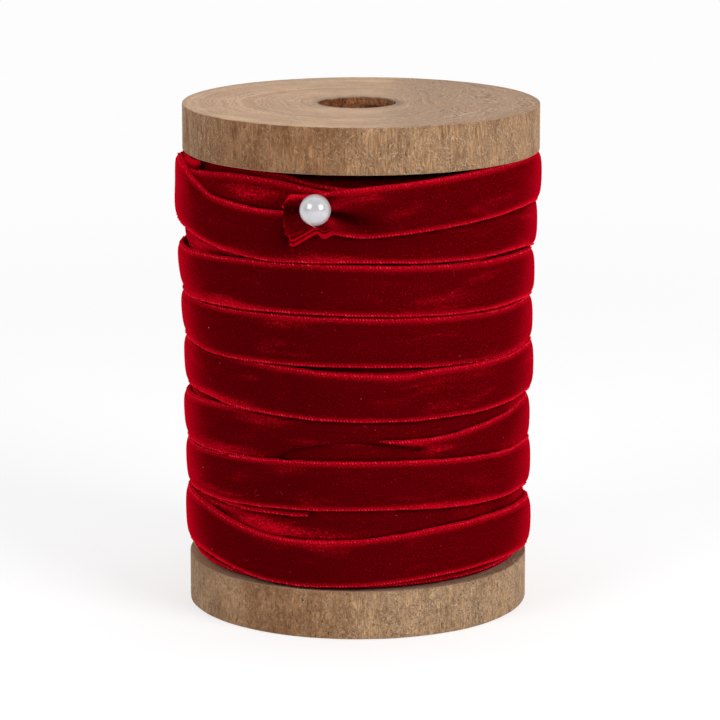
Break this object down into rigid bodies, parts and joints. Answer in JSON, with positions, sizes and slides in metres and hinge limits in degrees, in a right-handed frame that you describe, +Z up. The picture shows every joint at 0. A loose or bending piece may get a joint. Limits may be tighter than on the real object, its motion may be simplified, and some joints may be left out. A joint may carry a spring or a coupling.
{
  "type": "roll of velvet ribbon on a wooden spool",
  "caption": "Narrow velvet ribbon wound side by side on a standing wooden spool with a through bore, its loose end held by a pearl-headed pin.",
  "frame": {"origin": "middle of the whole footprint on the surface the spool stands on, with the spool's own axis 2.4 mm behind it because the pin's head reaches out in front", "axes": "+Z up along the spool's axis, -Y towards the front where the pin holds the loose end, +X to the right of the front"},
  "size_m": [0.0717, 0.0776, 0.0998],
  "materials": {
    "spool_wood": "bare sawn wood, cut across the grain, lightly worn at the rims",
    "barrel_wood": "bare rough wood inside the bore",
    "velvet": "deep red cut-pile velvet with woven selvedges",
    "pearl": "pearlescent bead with a soft gloss",
    "pin_steel": "plain bright steel wire"
  },
  "bodies": {
    "root": {"base_disc": "spool_wood", "top_disc": "spool_wood", "barrel": "barrel_wood", "ribbon_roll": "velvet", "ribbon_tail": "velvet", "pin_head": "pearl", "pin_shaft": "pin_steel"}
  },
  "joints": []
}
